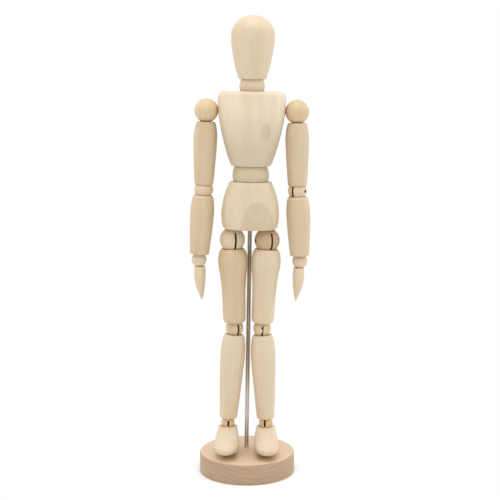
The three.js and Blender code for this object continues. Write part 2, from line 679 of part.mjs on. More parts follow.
const shoulders = {};
for (const [sideName, side] of [['left', 1], ['right', -1]]) {
  const tilt = (lean) => new THREE.Vector3(-side * Math.sin(lean), 0, Math.cos(lean));

  const hipCentre = at(side * hipX, hipHeight);
  const thighUp = tilt(-thighLean);
  const kneeCentre = hipCentre.clone().addScaledVector(thighUp, -THIGH_LENGTH);
  const calfUp = tilt(calfLean);
  const ankleCentre = kneeCentre.clone().addScaledVector(calfUp, -CALF_LENGTH);
  const hip = addJoint(`${sideName}_hip`, HIP_BALL, hipCentre, UP, { topBore: true });
  const knee = addJoint(`${sideName}_knee`, KNEE_BALL, kneeCentre, thighUp, { topBore: true });
  const endBall = { kerfAbove: true, tenonBore: true };
  const ankle = addJoint(`${sideName}_ankle`, ANKLE_BALL, ankleCentre, UP, endBall);
  addLimb(`${sideName}_thigh`, thighOutline, hip, knee, thighUp, {
    topDrop: THIGH_TOP_DROP, endRise: THIGH_END_RISE, endEdge: THIGH_END_EDGE,
  });
  addLimb(`${sideName}_calf`, calfOutline, knee, ankle, calfUp, {
    topDrop: CALF_TOP_DROP, endRise: CALF_END_RISE, endEdge: CALF_END_EDGE,
  });
  const toeTurn = new THREE.Quaternion().setFromAxisAngle(UP, THREE.MathUtils.degToRad(side * TOE_OUT));
  const foot = footBlock(kneeCentre.z - ankleCentre.z);
  figure.add(piece(`${sideName}_foot`, foot, wood, ankleCentre, toeTurn));

  const hipCoil = hipCentre.clone().addScaledVector(UP, HIP_BALL / 2 + HIP_SPRING_GRIP - SPRING_LENGTH);
  const hipTail = hipCoil.clone().addScaledVector(UP, -SPRING_LENGTH / 2 - SPRING_PITCH);
  const hipSpring = wire([...eye(hook(hip, -1), UP), hipTail, ...coil(hipCoil, UP)]);
  figure.add(piece(`${sideName}_hip_spring`, hipSpring, springSteel));

  const shoulderCentre = at(side * shoulderX, shoulderHeight);
  const upperArmUp = tilt(upperArmLean);
  const elbowCentre = shoulderCentre.clone().addScaledVector(upperArmUp, -UPPER_ARM_LENGTH);
  const forearmUp = tilt(forearmLean);
  const wristCentre = elbowCentre.clone().addScaledVector(forearmUp, -FOREARM_LENGTH);
  const shoulder = addJoint(`${sideName}_shoulder`, SHOULDER_BALL, shoulderCentre, UP);
  const elbow = addJoint(`${sideName}_elbow`, ELBOW_BALL, elbowCentre, upperArmUp, { topBore: true });
  const wrist = addJoint(`${sideName}_wrist`, WRIST_BALL, wristCentre, UP, endBall);
  addLimb(`${sideName}_upper_arm`, upperArmOutline, shoulder, elbow, upperArmUp, {
    topDrop: UPPER_ARM_TOP_DROP, endRise: UPPER_ARM_END_RISE, endEdge: UPPER_ARM_END_EDGE,
  });
  addLimb(`${sideName}_forearm`, forearmOutline, elbow, wrist, forearmUp, {
    topDrop: FOREARM_TOP_DROP, endRise: FOREARM_END_RISE, endEdge: FOREARM_END_EDGE,
  });
  figure.add(piece(`${sideName}_hand`, handBlock(side), wood, wristCentre));
  shoulders[sideName] = shoulder;
}

const chestSpring = hookedSpring(hook(shoulders.right, -1), hook(shoulders.left, -1));
figure.add(piece('chest_spring', chestSpring, springSteel));

export default mannequin;
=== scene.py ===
import json
import math

import bpy
from mathutils import Matrix, Vector


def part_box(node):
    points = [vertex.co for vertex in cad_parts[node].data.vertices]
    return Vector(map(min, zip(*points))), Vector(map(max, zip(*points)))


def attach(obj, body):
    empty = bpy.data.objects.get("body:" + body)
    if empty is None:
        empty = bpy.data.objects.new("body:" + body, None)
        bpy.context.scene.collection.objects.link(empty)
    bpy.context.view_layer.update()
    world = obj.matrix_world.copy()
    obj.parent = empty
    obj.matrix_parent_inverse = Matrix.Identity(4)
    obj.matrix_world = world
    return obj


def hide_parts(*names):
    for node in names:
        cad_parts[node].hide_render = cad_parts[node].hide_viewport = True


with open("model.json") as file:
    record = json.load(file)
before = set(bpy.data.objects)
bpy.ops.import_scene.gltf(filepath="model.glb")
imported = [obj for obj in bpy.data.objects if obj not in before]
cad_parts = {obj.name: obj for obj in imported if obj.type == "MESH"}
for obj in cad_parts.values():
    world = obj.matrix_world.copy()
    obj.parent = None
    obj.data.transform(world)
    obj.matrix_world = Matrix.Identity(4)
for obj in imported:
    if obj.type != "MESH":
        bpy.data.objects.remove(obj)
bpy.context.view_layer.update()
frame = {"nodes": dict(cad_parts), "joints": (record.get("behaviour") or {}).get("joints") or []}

# Sizes in millimetres, those of the solids or close to them, turned into metres when a mesh is made
MM = 0.001
GAP = 0.3
PIN_GAP = 0.15
PIN_DIAMETER = 1.4
PIN_BLIND_WALL = 1.3
PIN_MOUTH_DIAMETER = 2.2
PIN_MOUTH_DEPTH = 0.6
KERF_WIDTH = 1.3
KERF_PAST_PIN = 1.7
KERF_STOPS_SHORT = 3
TAIL_BORE = 2.6
SPRING_BORE = 4.8
TENON_BORE = 3.6
TENON_DEPTH = 2.8
ROD_DIAMETER = 3
BASE_DIAMETER = 63
BASE_THICKNESS = 14
BASE_EDGE = 1.6
PELVIS_ABOVE_HIP = 7
CHEST_ABOVE_WAIST = 5.9
HEAD_ABOVE_NECK = 4.2
ROD_IN_PELVIS = 14.3
ROD_IN_BASE = 10
ROD_BEVEL = 0.3
BALL_FLAT = 0.76
TORSO_SPRING_GRIP = 10
NECK_SPRING_GRIP = 3.4
HIP_BORE_PAST_BALL = 9.6
SHARP_ANGLE = 38
POLE = 0.02
# how far a cutter stands out of what it cuts
CUT_OVER = 1

BALLS = {"hip": 16.4, "knee": 11.6, "ankle": 8.8, "shoulder": 15.4, "elbow": 12.1, "wrist": 9.8}
WAIST_BALL = 23.6
NECK_BALL = 16.2

# Finer than the frame's facets
BALL_SIDES = 48
BALL_ROWS = 32
ROUND_SIDES = 56
BLOCK_SIDES = 64
BORE_SIDES = 20
SOCKET_STEPS = 8
SPLINE_STEPS = 6
ARC_STEPS = 6

# Limb outlines from the upper end down: share of the length, radius
THIGH = [(0, 7.3), (0.02, 8.1), (0.06, 8.95), (0.18, 9.7), (0.38, 8.5), (0.6, 7.7), (0.94, 7.35), (1, 6.3)]
CALF = [(0, 6.1), (0.02, 6.6), (0.06, 7.3), (0.24, 8.1), (0.6, 7.2), (0.95, 5.95), (1, 5.5)]
UPPER_ARM = [(0, 5.6), (0.025, 6.2), (0.07, 6.75), (0.25, 7.6), (0.6, 7.1), (0.96, 6.2), (1, 5.9)]
FOREARM = [(0, 5.8), (0.025, 6.4), (0.06, 6.9), (0.26, 7.7), (0.6, 7.3), (0.96, 6.3), (1, 5.9)]

# Limb ends: drop of the top below the upper ball's centre, rise of the end above the lower ball's centre
LIMBS = {
    "thigh": {"upper": "hip", "lower": "knee", "outline": THIGH, "drop": 5.8, "rise": 4},
    "calf": {"upper": "knee", "lower": "ankle", "outline": CALF, "drop": 4.3, "rise": 3.5},
    "upper_arm": {"upper": "shoulder", "lower": "elbow", "outline": UPPER_ARM, "drop": 7.1, "rise": 3.5},
    "forearm": {"upper": "elbow", "lower": "wrist", "outline": FOREARM, "drop": 3.7, "rise": 3.9},
}

# Limbs turned from paler stock than the rest
PALE_LIMBS = ("left_thigh", "left_calf", "right_calf")

# The joint that turns each ball in the piece above it, and the one that swings the piece below it on its pin
TURNS = {"hip": "hip_turn", "knee": "knee_turn", "elbow": "elbow_turn"}
SWINGS = {
    "hip": "thigh_swing", "knee": "calf_swing", "ankle": "ankle_swing",
    "shoulder": "upper_arm_swing", "elbow": "forearm_swing", "wrist": "wrist_swing",
}

# Head outline: share of the height, share of the half width
HEAD_HEIGHT = 40.5
HEAD_WIDTH = 27.8
HEAD = [
    (0, 0.59), (0.012, 0.63), (0.05, 0.675), (0.2, 0.8), (0.42, 0.93), (0.64, 1), (0.78, 0.95), (0.88, 0.77),
    (0.95, 0.51), (0.985, 0.27), (1, 0),
]

# Torso sections: share of the height, share of half width, share of half depth, squareness
# The pelvis is as wide as leaves a forearm room to swing in beside it
PELVIS_SIZE = (37.3, 28, 31)
PELVIS = [
    (0, 0.83, 0.66, 2.5), (0.012, 0.88, 0.76, 2.6), (0.05, 0.935, 0.87, 2.6), (0.14, 0.98, 0.96, 2.6),
    (0.34, 1, 1, 2.6), (0.6, 0.95, 1, 2.5), (0.8, 0.855, 0.97, 2.4), (0.95, 0.755, 0.925, 2.3),
    (0.985, 0.73, 0.905, 2.2), (1, 0.69, 0.86, 2.2),
]
CHEST_SIZE = (43.6, 26.4, 47.5)
CHEST = [
    (0, 0.55, 0.84, 2.2), (0.012, 0.59, 0.9, 2.2), (0.05, 0.63, 0.935, 2.3), (0.18, 0.73, 0.98, 2.5),
    (0.4, 0.855, 1, 2.7), (0.6, 0.945, 0.99, 2.9), (0.75, 0.985, 0.95, 3), (0.89, 1, 0.88, 3),
    (0.955, 0.975, 0.84, 3), (0.99, 0.91, 0.77, 2.9), (1, 0.84, 0.7, 2.8),
]

# Feet and hands, from the ball's centre
ANKLE_HEIGHT = 19.8
SOLE_GAP = 0.7
TOE_OUT = 3
COLLAR_DROP = 2.4
COLLAR_DIAMETER = 12.4
COLLAR_EDGE = [(0.35, 0.5), (0.2, 0.15), (-0.1, 0)]
FOOT_WIDTH = 16.4
FOOT_FRONT = 24.5
FOOT_BACK = 12
FOOT_WIDEST = 10
FOOT_POWER = 2.05
# share of the rise, of the width, of the front reach, of the back reach, of the widest place's advance
FOOT = [
    (0, 0.36, 0.42, 0.5, 0.4), (0.05, 0.57, 0.6, 0.67, 0.6), (0.1, 0.7, 0.72, 0.79, 0.75),
    (0.17, 0.83, 0.85, 0.89, 0.9), (0.28, 0.95, 0.96, 0.97, 1), (0.42, 1, 1, 1, 0.95),
    (0.58, 0.95, 0.88, 0.96, 0.65), (0.76, 0.85, 0.58, 0.85, 0.3), (0.92, 0.77, 0.34, 0.68, 0.06),
]
HAND_LENGTH = 26.6
HAND_BREADTH = 12.4
HAND_THICKNESS = 7.5
# share of the drop, of the thickness, of the breadth, shift inward
HAND = [
    (0.16, 0.88, 0.66, 0.6), (0.18, 0.94, 0.73, 0.62), (0.25, 0.98, 0.86, 0.7), (0.38, 1, 0.98, 0.7),
    (0.52, 0.94, 1, 0.8), (0.66, 0.78, 0.9, 1.1), (0.8, 0.52, 0.68, 1.55), (0.92, 0.25, 0.38, 1.95),
    (0.98, 0.1, 0.17, 2.07), (1, 0.03, 0.06, 2.1),
]

joints = {joint["name"]: joint for joint in frame["joints"]}


def place(joint):
    return Vector(joints[joint]["pos_m"])


def heading(joint):
    return Vector(joints[joint]["axis"]).normalized()


figure_up = heading("figure_turn")
if figure_up.z < 0:
    figure_up.negate()
AHEAD = Vector((0, -1, 0))


def stand_at(position, up, across=None):
    """A frame at a point with Z along up, and X along across or else to the figure's left."""
    z = up.normalized()
    x = across.copy() if across else AHEAD.cross(z).normalized() * -1
    x = (x - z * x.dot(z)).normalized()
    y = z.cross(x)
    matrix = Matrix((x, y, z)).transposed().to_4x4()
    matrix.translation = position
    return matrix


# Meshes

def smooth(points, steps=SPLINE_STEPS):
    """A curve through the points, each a tuple of numbers."""
    curve = []
    last = len(points) - 1
    for i in range(last):
        a = points[max(i - 1, 0)]
        b = points[i]
        c = points[i + 1]
        d = points[min(i + 2, last)]
        for step in range(steps):
            t = step / steps
            row = []
            for p, q, r, s in zip(a, b, c, d):
                slope_in = (r - p) / 2
                slope_out = (s - q) / 2
                h = q * (2 * t**3 - 3 * t**2 + 1) + slope_in * (t**3 - 2 * t**2 + t)
                row.append(h + r * (3 * t**2 - 2 * t**3) + slope_out * (t**3 - t**2))
            curve.append(tuple(row))
    curve.append(tuple(points[last]))
    return curve


def mesh_object(name, points, faces):
    mesh = bpy.data.meshes.new(name)
    mesh.from_pydata([Vector(point) * MM for point in points], [], faces)
    mesh.validate()
    made = bpy.data.objects.new(name, mesh)
    bpy.context.scene.collection.objects.link(made)
    return made


def skin(name, rings, round_trip=False):
    """Faces between rings of points, with closed ends, or back to the first ring."""
    sides = len(rings[0])
    points = [point for ring in rings for point in ring]
    faces = []
    stretches = len(rings) if round_trip else len(rings) - 1
    for row in range(stretches):
        after = (row + 1) % len(rings)
        for side in range(sides):
            turn = (side + 1) % sides
            faces.append((row * sides + side, row * sides + turn, after * sides + turn, after * sides + side))
    if not round_trip:
        faces.append(tuple(reversed(range(sides))))
        faces.append(tuple((len(rings) - 1) * sides + side for side in range(sides)))
    return mesh_object(name, points, faces)


def circle(radius, z, sides):
    ring = []
    for side in range(sides):
        angle = side / sides * 2 * math.pi
        ring.append((radius * math.cos(angle), radius * math.sin(angle), z))
    return ring


def turned(name, outline, sides=ROUND_SIDES, round_trip=False):
    """A turned piece: radius and height pairs from the bottom up."""
    return skin(name, [circle(radius, z, sides) for radius, z in outline], round_trip)


def rounded_ring(half_width, front, back, z, power, ahead=0.0, side=0.0, sides=BLOCK_SIDES):
    ring = []
    for i in range(sides):
        angle = i / sides * 2 * math.pi
        across = math.cos(angle)
        along = math.sin(angle)
        reach = front if along < 0 else back
        x = half_width * math.copysign(abs(across) ** (2 / power), across)
        y = reach * math.copysign(abs(along) ** (2 / power), along)
        ring.append((side + x, y - ahead, z))
    return ring


def sphere(name, diameter):
    radius = diameter / 2
    outline = []
    for row in range(BALL_ROWS + 1):
        angle = math.pi * row / BALL_ROWS - math.pi / 2
        outline.append((max(radius * math.cos(angle), POLE), radius * math.sin(angle)))
    return turned(name, outline, BALL_SIDES)


def cylinder(name, diameter, low, high, sides=BORE_SIDES):
    return turned(name, [(diameter / 2, low), (diameter / 2, high)], sides)


def brick(name, width, depth, low, high):
    x = width / 2
    y = depth / 2
    rings = [[(-x, -y, z), (x, -y, z), (x, y, z), (-x, y, z)] for z in (low, high)]
    return skin(name, rings)


def moved(cutter, x=0.0, y=0.0, z=0.0, along_x=False):
    matrix = Matrix.Translation(Vector((x, y, z)) * MM)
    if along_x:
        matrix = matrix @ Matrix.Rotation(math.pi / 2, 4, "Y")
    cutter.data.transform(matrix)
    return cutter


def carve(made, cutters, inside):
    """Cuts the cutters out of a piece; the cut faces take the inside finish."""
    for cutter in cutters:
        cutter.data.materials.append(inside)
        knife = made.modifiers.new("cut", "BOOLEAN")
        knife.operation = "DIFFERENCE"
        knife.solver = "EXACT"
        knife.material_mode = "TRANSFER"
        knife.object = cutter
    bpy.context.view_layer.update()
    graph = bpy.context.evaluated_depsgraph_get()
    mesh = bpy.data.meshes.new_from_object(made.evaluated_get(graph))
    made.modifiers.clear()
    made.data = mesh
    for cutter in cutters:
        bpy.data.objects.remove(cutter)


def put(made, node, body, matrix):
    for face in made.data.polygons:
        face.use_smooth = True
    made.data.set_sharp_from_angle(angle=math.radians(SHARP_ANGLE))
    made.matrix_world = matrix
    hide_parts(node)
    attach(made, body)


# Finishes

# Distance between two rings of the wave node at scale 1
WAVE_PERIOD = math.pi / 10


class Finish:
    """A material's nodes, with short calls to add and join them."""

    def __init__(self, name):
        self.material = bpy.data.materials.new(name)
        self.material.use_nodes = True
        self.tree = self.material.node_tree
        self.shader = self.tree.nodes["Principled BSDF"]

    def node(self, kind, **inputs):
        made = self.tree.nodes.new(kind)
        for key, value in inputs.items():
            self.give(value, made.inputs[key])
        return made

    def give(self, value, socket):
        if isinstance(value, bpy.types.NodeSocket):
            self.tree.links.new(value, socket)
        else:
            socket.default_value = value

    def math(self, operation, first, second):
        made = self.tree.nodes.new("ShaderNodeMath")
        made.operation = operation
        self.give(first, made.inputs[0])
        self.give(second, made.inputs[1])
        return made.outputs[0]

    def spread(self, value, low, high, to_low=0.0, to_high=1.0):
        made = self.node("ShaderNodeMapRange")
        made.interpolation_type = "SMOOTHSTEP"
        for i, part in enumerate((value, low, high, to_low, to_high)):
            self.give(part, made.inputs[i])
        return made.outputs[0]

    def blend(self, factor, first, second):
        made = self.tree.nodes.new("ShaderNodeMix")
        made.data_type = "RGBA"
        self.give(factor, made.inputs["Factor"])
        self.give(first, made.inputs["A"])
        self.give(second, made.inputs["B"])
        return made.outputs["Result"]

    def stretched(self, vector, scale, turn=(0.0, 0.0, 0.0), shift=(0.0, 0.0, 0.0)):
        made = self.node("ShaderNodeMapping", Vector=vector, Location=shift, Rotation=turn, Scale=scale)
        return made.outputs["Vector"]

    def noise(self, vector, detail, roughness, w=0.0):
        made = self.tree.nodes.new("ShaderNodeTexNoise")
        made.noise_dimensions = "4D"
        self.give(vector, made.inputs["Vector"])
        self.give(w, made.inputs["W"])
        made.inputs["Scale"].default_value = 1.0
        made.inputs["Detail"].default_value = detail
        made.inputs["Roughness"].default_value = roughness
        return made.outputs["Fac"]

    def rings(self, vector, spacing, wobble):
        """Growth rings round the vector's Z axis, one each spacing."""
        made = self.tree.nodes.new("ShaderNodeTexWave")
        made.wave_type = "RINGS"
        made.rings_direction = "Z"
        made.wave_profile = "SAW"
        self.give(vector, made.inputs["Vector"])
        made.inputs["Scale"].default_value = WAVE_PERIOD / spacing
        made.inputs["Distortion"].default_value = wobble
        made.inputs["Detail"].default_value = 2.0
        made.inputs["Detail Scale"].default_value = 0.22
        made.inputs["Detail Roughness"].default_value = 0.5
        return made.outputs["Fac"]

    def bump(self, height, strength, distance):
        made = self.node("ShaderNodeBump", Height=height, Strength=strength, Distance=distance)
        self.give(made.outputs["Normal"], self.shader.inputs["Normal"])


def shade(colour, share):
    return tuple(channel * share for channel in colour) + (1.0,)


RANDOM_REACH = 40.0
HEART_SWING = 0.02
PIECE_TONE = 0.25
STREAK_SCALE = (1500, 1500, 38)
CLOUD_SCALE = (95, 95, 16)
FLECK_SCALE = (2300, 2300, 190)
# Between which values of its noise each pattern comes in
STREAK_BAND = (0.42, 0.75)
CLOUD_BAND = (0.38, 0.72)
FLECK_BAND = (0.63, 0.74)
RING_BAND = (0.45, 1.0)
# Shares of the warm colour for late wood, streaks, flecks and patches
LATE_SHARE = 0.72
STREAK_SHARE = 0.62
FLECK_SHARE = 0.45
PATCH_SHARE = 0.8
# How strongly a patch shows between its rings and on them
RING_IN_PATCH = (0.8, 1.0)
# How far an upper face takes a lighter colour, as painted light from above, and for which slopes
LIT_TOP_SHARE = 0.75
LIT_TOP_BAND = (0.4, 0.9)
WOOD_GLOSS_BAND = (0.3, 0.75)
WOOD_ROUGHNESS = (0.4, 0.56)
WOOD_SPECULAR = 0.35
WOOD_BUMP = (0.12, 0.0002)
PALE = (0.71, 0.595, 0.435)
WARM = (0.67, 0.495, 0.3)


def grain(scale, along):
    """A pattern's scales, with the long one turned to the grain's axis."""
    across, _, lengthwise = scale
    return tuple(lengthwise if axis == along else across for axis in "XYZ")


def oval(look, own, growth, middle, size, edge, strength):
    """How strongly an oval patch of darker figure shows, with the growth rings a little clearer in it."""
    across = look.node("ShaderNodeMapping", Vector=own, Location=middle, Scale=size)
    across.vector_type = "TEXTURE"
    reach = look.node("ShaderNodeVectorMath")
    reach.operation = "LENGTH"
    look.give(across.outputs["Vector"], reach.inputs[0])
    inside = look.spread(reach.outputs["Value"], edge, 1.0, strength, 0.0)
    return look.math("MULTIPLY", inside, look.spread(growth, 0.0, 1.0, *RING_IN_PATCH))


def wood(name, pale, warm, streak=0.12, ring=0.07, spacing=0.0034, centre=(0.012, 0.02, 0.0),
         lean=(0.05, 0.12, 0.0), warmth=0.5, fleck=0.1, wobble=2.2, vary=1.0, along="Z",
         patch=None, face=None, painted_shade_below=None):
    """Fine-grained timber with its grain along one of the piece's own axes."""
    look = Finish(name)
    own = look.node("ShaderNodeTexCoord").outputs["Object"]
    chance = look.node("ShaderNodeObjectInfo").outputs["Random"]
    seed = look.math("MULTIPLY", chance, RANDOM_REACH * vary)
    streaks = look.noise(look.stretched(own, grain(STREAK_SCALE, along)), detail=3.0, roughness=0.6, w=seed)
    clouds = look.noise(look.stretched(own, grain(CLOUD_SCALE, along)), detail=2.0, roughness=0.5, w=seed)
    flecks = look.noise(look.stretched(own, grain(FLECK_SCALE, along)), detail=1.0, roughness=0.5, w=seed)
    swing = look.math("MULTIPLY", look.math("SUBTRACT", chance, 0.5), HEART_SWING * vary)
    turn_in = look.node("ShaderNodeCombineXYZ", X=swing, Y=swing).outputs["Vector"]
    shifted = look.node("ShaderNodeVectorMath")
    shifted.operation = "ADD"
    look.give(own, shifted.inputs[0])
    look.give(turn_in, shifted.inputs[1])
    heart = look.stretched(shifted.outputs["Vector"], (1, 1, 1), lean, centre)
    growth = look.rings(heart, spacing, wobble)
    colour = look.blend(look.spread(clouds, *CLOUD_BAND, 0.0, warmth), pale + (1.0,), warm + (1.0,))
    colour = look.blend(look.math("MULTIPLY", chance, PIECE_TONE * vary), colour, warm + (1.0,))
    # Painted shade: the colour darkens towards the piece's lower end
    if painted_shade_below:
        height = look.node("ShaderNodeSeparateXYZ", Vector=own).outputs["Z"]
        share = look.spread(height, painted_shade_below["from"], painted_shade_below["to"], painted_shade_below["strength"], 0.0)
        colour = look.blend(share, colour, painted_shade_below["colour"] + (1.0,))
    late = look.spread(growth, *RING_BAND, 0.0, ring)
    colour = look.blend(late, colour, shade(warm, LATE_SHARE))
    colour = look.blend(look.spread(streaks, *STREAK_BAND, 0.0, streak), colour, shade(warm, STREAK_SHARE))
    colour = look.blend(look.spread(flecks, *FLECK_BAND, 0.0, fleck), colour, shade(warm, FLECK_SHARE))
    if patch:
        colour = look.blend(oval(look, own, growth, **patch), colour, shade(warm, PATCH_SHARE))
    # Painted light: faces that point up take a lighter colour, as if lit from above
    if face:
        normal = look.node("ShaderNodeTexCoord").outputs["Normal"]
        up = look.node("ShaderNodeSeparateXYZ", Vector=normal).outputs["Z"]
        lit_top_colour = look.blend(LIT_TOP_SHARE, colour, face + (1.0,))
        colour = look.blend(look.spread(up, *LIT_TOP_BAND), colour, lit_top_colour)
    look.give(colour, look.shader.inputs["Base Color"])
    look.give(look.spread(streaks, *WOOD_GLOSS_BAND, *WOOD_ROUGHNESS), look.shader.inputs["Roughness"])
    look.shader.inputs["Specular IOR Level"].default_value = WOOD_SPECULAR
    look.bump(streaks, *WOOD_BUMP)
    return look.material


LINE_SCALE = (3200, 3200, 18)
LINE_BAND = (0.4, 0.7)
LINE_STRENGTH = 0.3
LINE_SHARE = 0.7
METAL_GLOSS_BAND = (0.3, 0.7)
METAL_BUMP = (0.08, 0.0001)
TARNISH_SCALE = (60, 60, 22)
TARNISH_BAND = (0.35, 0.75)
TARNISH_STRENGTH = 0.55
TARNISH_SHARE = 0.62


def metal(name, colour, roughness, painted_shade_above=None):
    """Drawn metal with fine lines along its length, and painted shade above a height if asked."""
    look = Finish(name)
    own = look.node("ShaderNodeTexCoord").outputs["Object"]
    lines = look.noise(look.stretched(own, LINE_SCALE), detail=2.0, roughness=0.5)
    tarnish = look.noise(look.stretched(own, TARNISH_SCALE), detail=3.0, roughness=0.6)
    dull = look.spread(tarnish, *TARNISH_BAND, 0.0, TARNISH_STRENGTH)
    tone = look.blend(dull, colour + (1.0,), shade(colour, TARNISH_SHARE))
    # Painted shade: darker above the given height
    if painted_shade_above:
        up = look.node("ShaderNodeSeparateXYZ", Vector=own).outputs["Z"]
        share = look.spread(up, painted_shade_above["from"], painted_shade_above["to"], 0.0, 1.0)
        tone = look.blend(share, tone, painted_shade_above["colour"] + (1.0,))
    drawn = look.spread(lines, *LINE_BAND, 0.0, LINE_STRENGTH)
    tone = look.blend(drawn, tone, shade(colour, LINE_SHARE))
    look.give(tone, look.shader.inputs["Base Color"])
    look.give(look.spread(lines, *METAL_GLOSS_BAND, *roughness), look.shader.inputs["Roughness"])
    look.shader.inputs["Metallic"].default_value = 1.0
    look.bump(lines, *METAL_BUMP)
    return look.material


limb_wood = wood("limb_wood", PALE, WARM)
arm_wood = wood("arm_wood", (0.655, 0.53, 0.365), (0.59, 0.405, 0.215), warmth=0.75)
CHEST_FIGURE = {"middle": (0.009, -0.013, 0.0225), "size": (0.004, 0.02, 0.007), "edge": 0.6,
                "strength": 0.48}
PELVIS_FIGURE = {"middle": (0.005, -0.013, 0.0), "size": (0.0116, 0.024, 0.0205), "edge": 0.87,
                 "strength": 0.42}
# Painted shade on the chest: a lighter colour at the top that darkens towards the bottom, heights in metres
# from its lower edge
CHEST_LIT_PALE = (0.79, 0.68, 0.52)
CHEST_PAINTED_SHADE = {"colour": (0.56, 0.46, 0.33), "from": 0.002, "to": 0.042, "strength": 0.75}
chest_wood = wood("chest_wood", CHEST_LIT_PALE, WARM, ring=0.06, spacing=0.0042, centre=(-0.004, 0.035, 0.0),
                  lean=(0.22, 0.05, 0.0), vary=0.0, patch=CHEST_FIGURE, painted_shade_below=CHEST_PAINTED_SHADE)
pelvis_wood = wood("pelvis_wood", PALE, WARM, ring=0.06, spacing=0.0036, centre=(-0.005, 0.024, 0.0),
                   lean=(0.3, 0.04, 0.0), vary=0.0, patch=PELVIS_FIGURE)
waist_wood = wood("waist_wood", (0.625, 0.555, 0.39), (0.59, 0.46, 0.27))
ball_wood = wood("ball_wood", (0.715, 0.58, 0.405), (0.6, 0.455, 0.295), streak=0.14, ring=0.12)
# The left hip's ball: darker wood, partly its own tone and partly painted shade from the pelvis above it
warm_stock_and_shade = wood("warm_stock_and_shade", (0.56, 0.41, 0.255), (0.48, 0.32, 0.18), streak=0.16, ring=0.14)
honey_wood = wood("honey_wood", (0.71, 0.55, 0.345), (0.6, 0.43, 0.25), streak=0.14, ring=0.12)
golden_wood = wood("golden_wood", (0.77, 0.55, 0.31), (0.65, 0.42, 0.2), streak=0.14, ring=0.12)
# The base's upper face is painted lighter, as light from above
base_wood = wood("base_wood", (0.5, 0.345, 0.22), (0.42, 0.275, 0.17), streak=0.3, ring=0.26, spacing=0.0031,
                 centre=(-0.008, 0.075, 0.0), lean=(math.pi / 2, 0.0, 0.0), fleck=0.3, wobble=1.6, vary=0.0,
                 along="X", face=(0.75, 0.55, 0.37))
# Cut faces of kerfs, pin holes and the rod hole: the sawn wood's own darker tone, with painted shade of the
# narrow slots and holes on top
sawn_and_shaded_wood = wood("sawn_and_shaded_wood", (0.25, 0.14, 0.065), (0.17, 0.09, 0.04), streak=0.3, fleck=0.3)
hollow_wood = wood("hollow_wood", (0.55, 0.42, 0.27), (0.46, 0.32, 0.19), streak=0.25)
# Painted shade on the rod: dark between the legs and bright near the base, heights in metres from the base
ROD_PAINTED_SHADE = {"colour": (0.42, 0.36, 0.27), "from": 0.032, "to": 0.06}
rod_steel = metal("rod_steel", (0.74, 0.72, 0.68), roughness=(0.14, 0.28), painted_shade_above=ROD_PAINTED_SHADE)
# Pins and springs: dark steel, with a brown tint that is painted reflection of the wood around the kerfs
spring_steel = metal("spring_steel", (0.05, 0.037, 0.027), roughness=(0.4, 0.6))

# Balls cut from other stock than the rest; the left hip's darker wood is also painted shade from the pelvis
# above it
BALL_WOODS = {
    "left_wrist": limb_wood, "right_wrist": limb_wood, "left_hip": warm_stock_and_shade,
    "left_shoulder": honey_wood, "right_shoulder": honey_wood, "right_elbow": limb_wood,
    "left_knee": honey_wood, "right_knee": honey_wood,
    "left_ankle": golden_wood, "right_ankle": golden_wood,
}

# Balls with a saw kerf, a cross bore for the pin and a bore for the spring's tail


def joint_ball(side, kind):
    name = f"{side}_{kind}"
    diameter = BALLS[kind]
    radius = diameter / 2
    over = radius + GAP
    end_ball = kind in ("ankle", "wrist")
    centre = place(f"{side}_{SWINGS[kind]}")
    up = heading(f"{side}_{TURNS[kind]}") if kind in TURNS else figure_up
    if up.z < 0:
        up = -up
    pin = heading(f"{side}_{SWINGS[kind]}")
    low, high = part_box(f"{name}_pin")
    if (Vector(low) + Vector(high) - 2 * centre).dot(pin) < 0:
        pin = -pin
    past_pin = max(KERF_PAST_PIN, radius - KERF_STOPS_SHORT)
    made = sphere(f"{name}_ball_fine", diameter)
    made.data.materials.append(BALL_WOODS.get(name, ball_wood))
    if end_ball:
        kerf = brick("kerf", KERF_WIDTH, diameter + CUT_OVER, -past_pin, over)
    else:
        kerf = brick("kerf", KERF_WIDTH, diameter + CUT_OVER, -over, past_pin)
    pin_bore = cylinder("bore", PIN_DIAMETER + 2 * PIN_GAP, -radius + PIN_BLIND_WALL, over)
    pin_mouth = cylinder("mouth", PIN_MOUTH_DIAMETER, radius - PIN_MOUTH_DEPTH, over)
    carve(made, [kerf, moved(pin_bore, along_x=True), moved(pin_mouth, along_x=True)], sawn_and_shaded_wood)
    if end_ball:
        tail = cylinder("tail", TENON_BORE, -over, -over + TENON_DEPTH + GAP)
        carve(made, [tail], hollow_wood)
    elif kind != "shoulder":
        carve(made, [cylinder("tail", TAIL_BORE, 0, over)], hollow_wood)
    put(made, f"{name}_ball", f"{name}_ball", stand_at(centre, up, pin))


# Limbs: hollow turned pieces with a socket at each end


def socket_arc(radius, from_height, to_height):
    """Radius and height pairs on a socket's ball, measured from its centre."""
    arc = []
    start = math.asin(from_height / radius)
    stop = math.asin(to_height / radius)
    for step in range(SOCKET_STEPS + 1):
        angle = start + (stop - start) * step / SOCKET_STEPS
        arc.append((radius * math.cos(angle), radius * math.sin(angle)))
    return arc


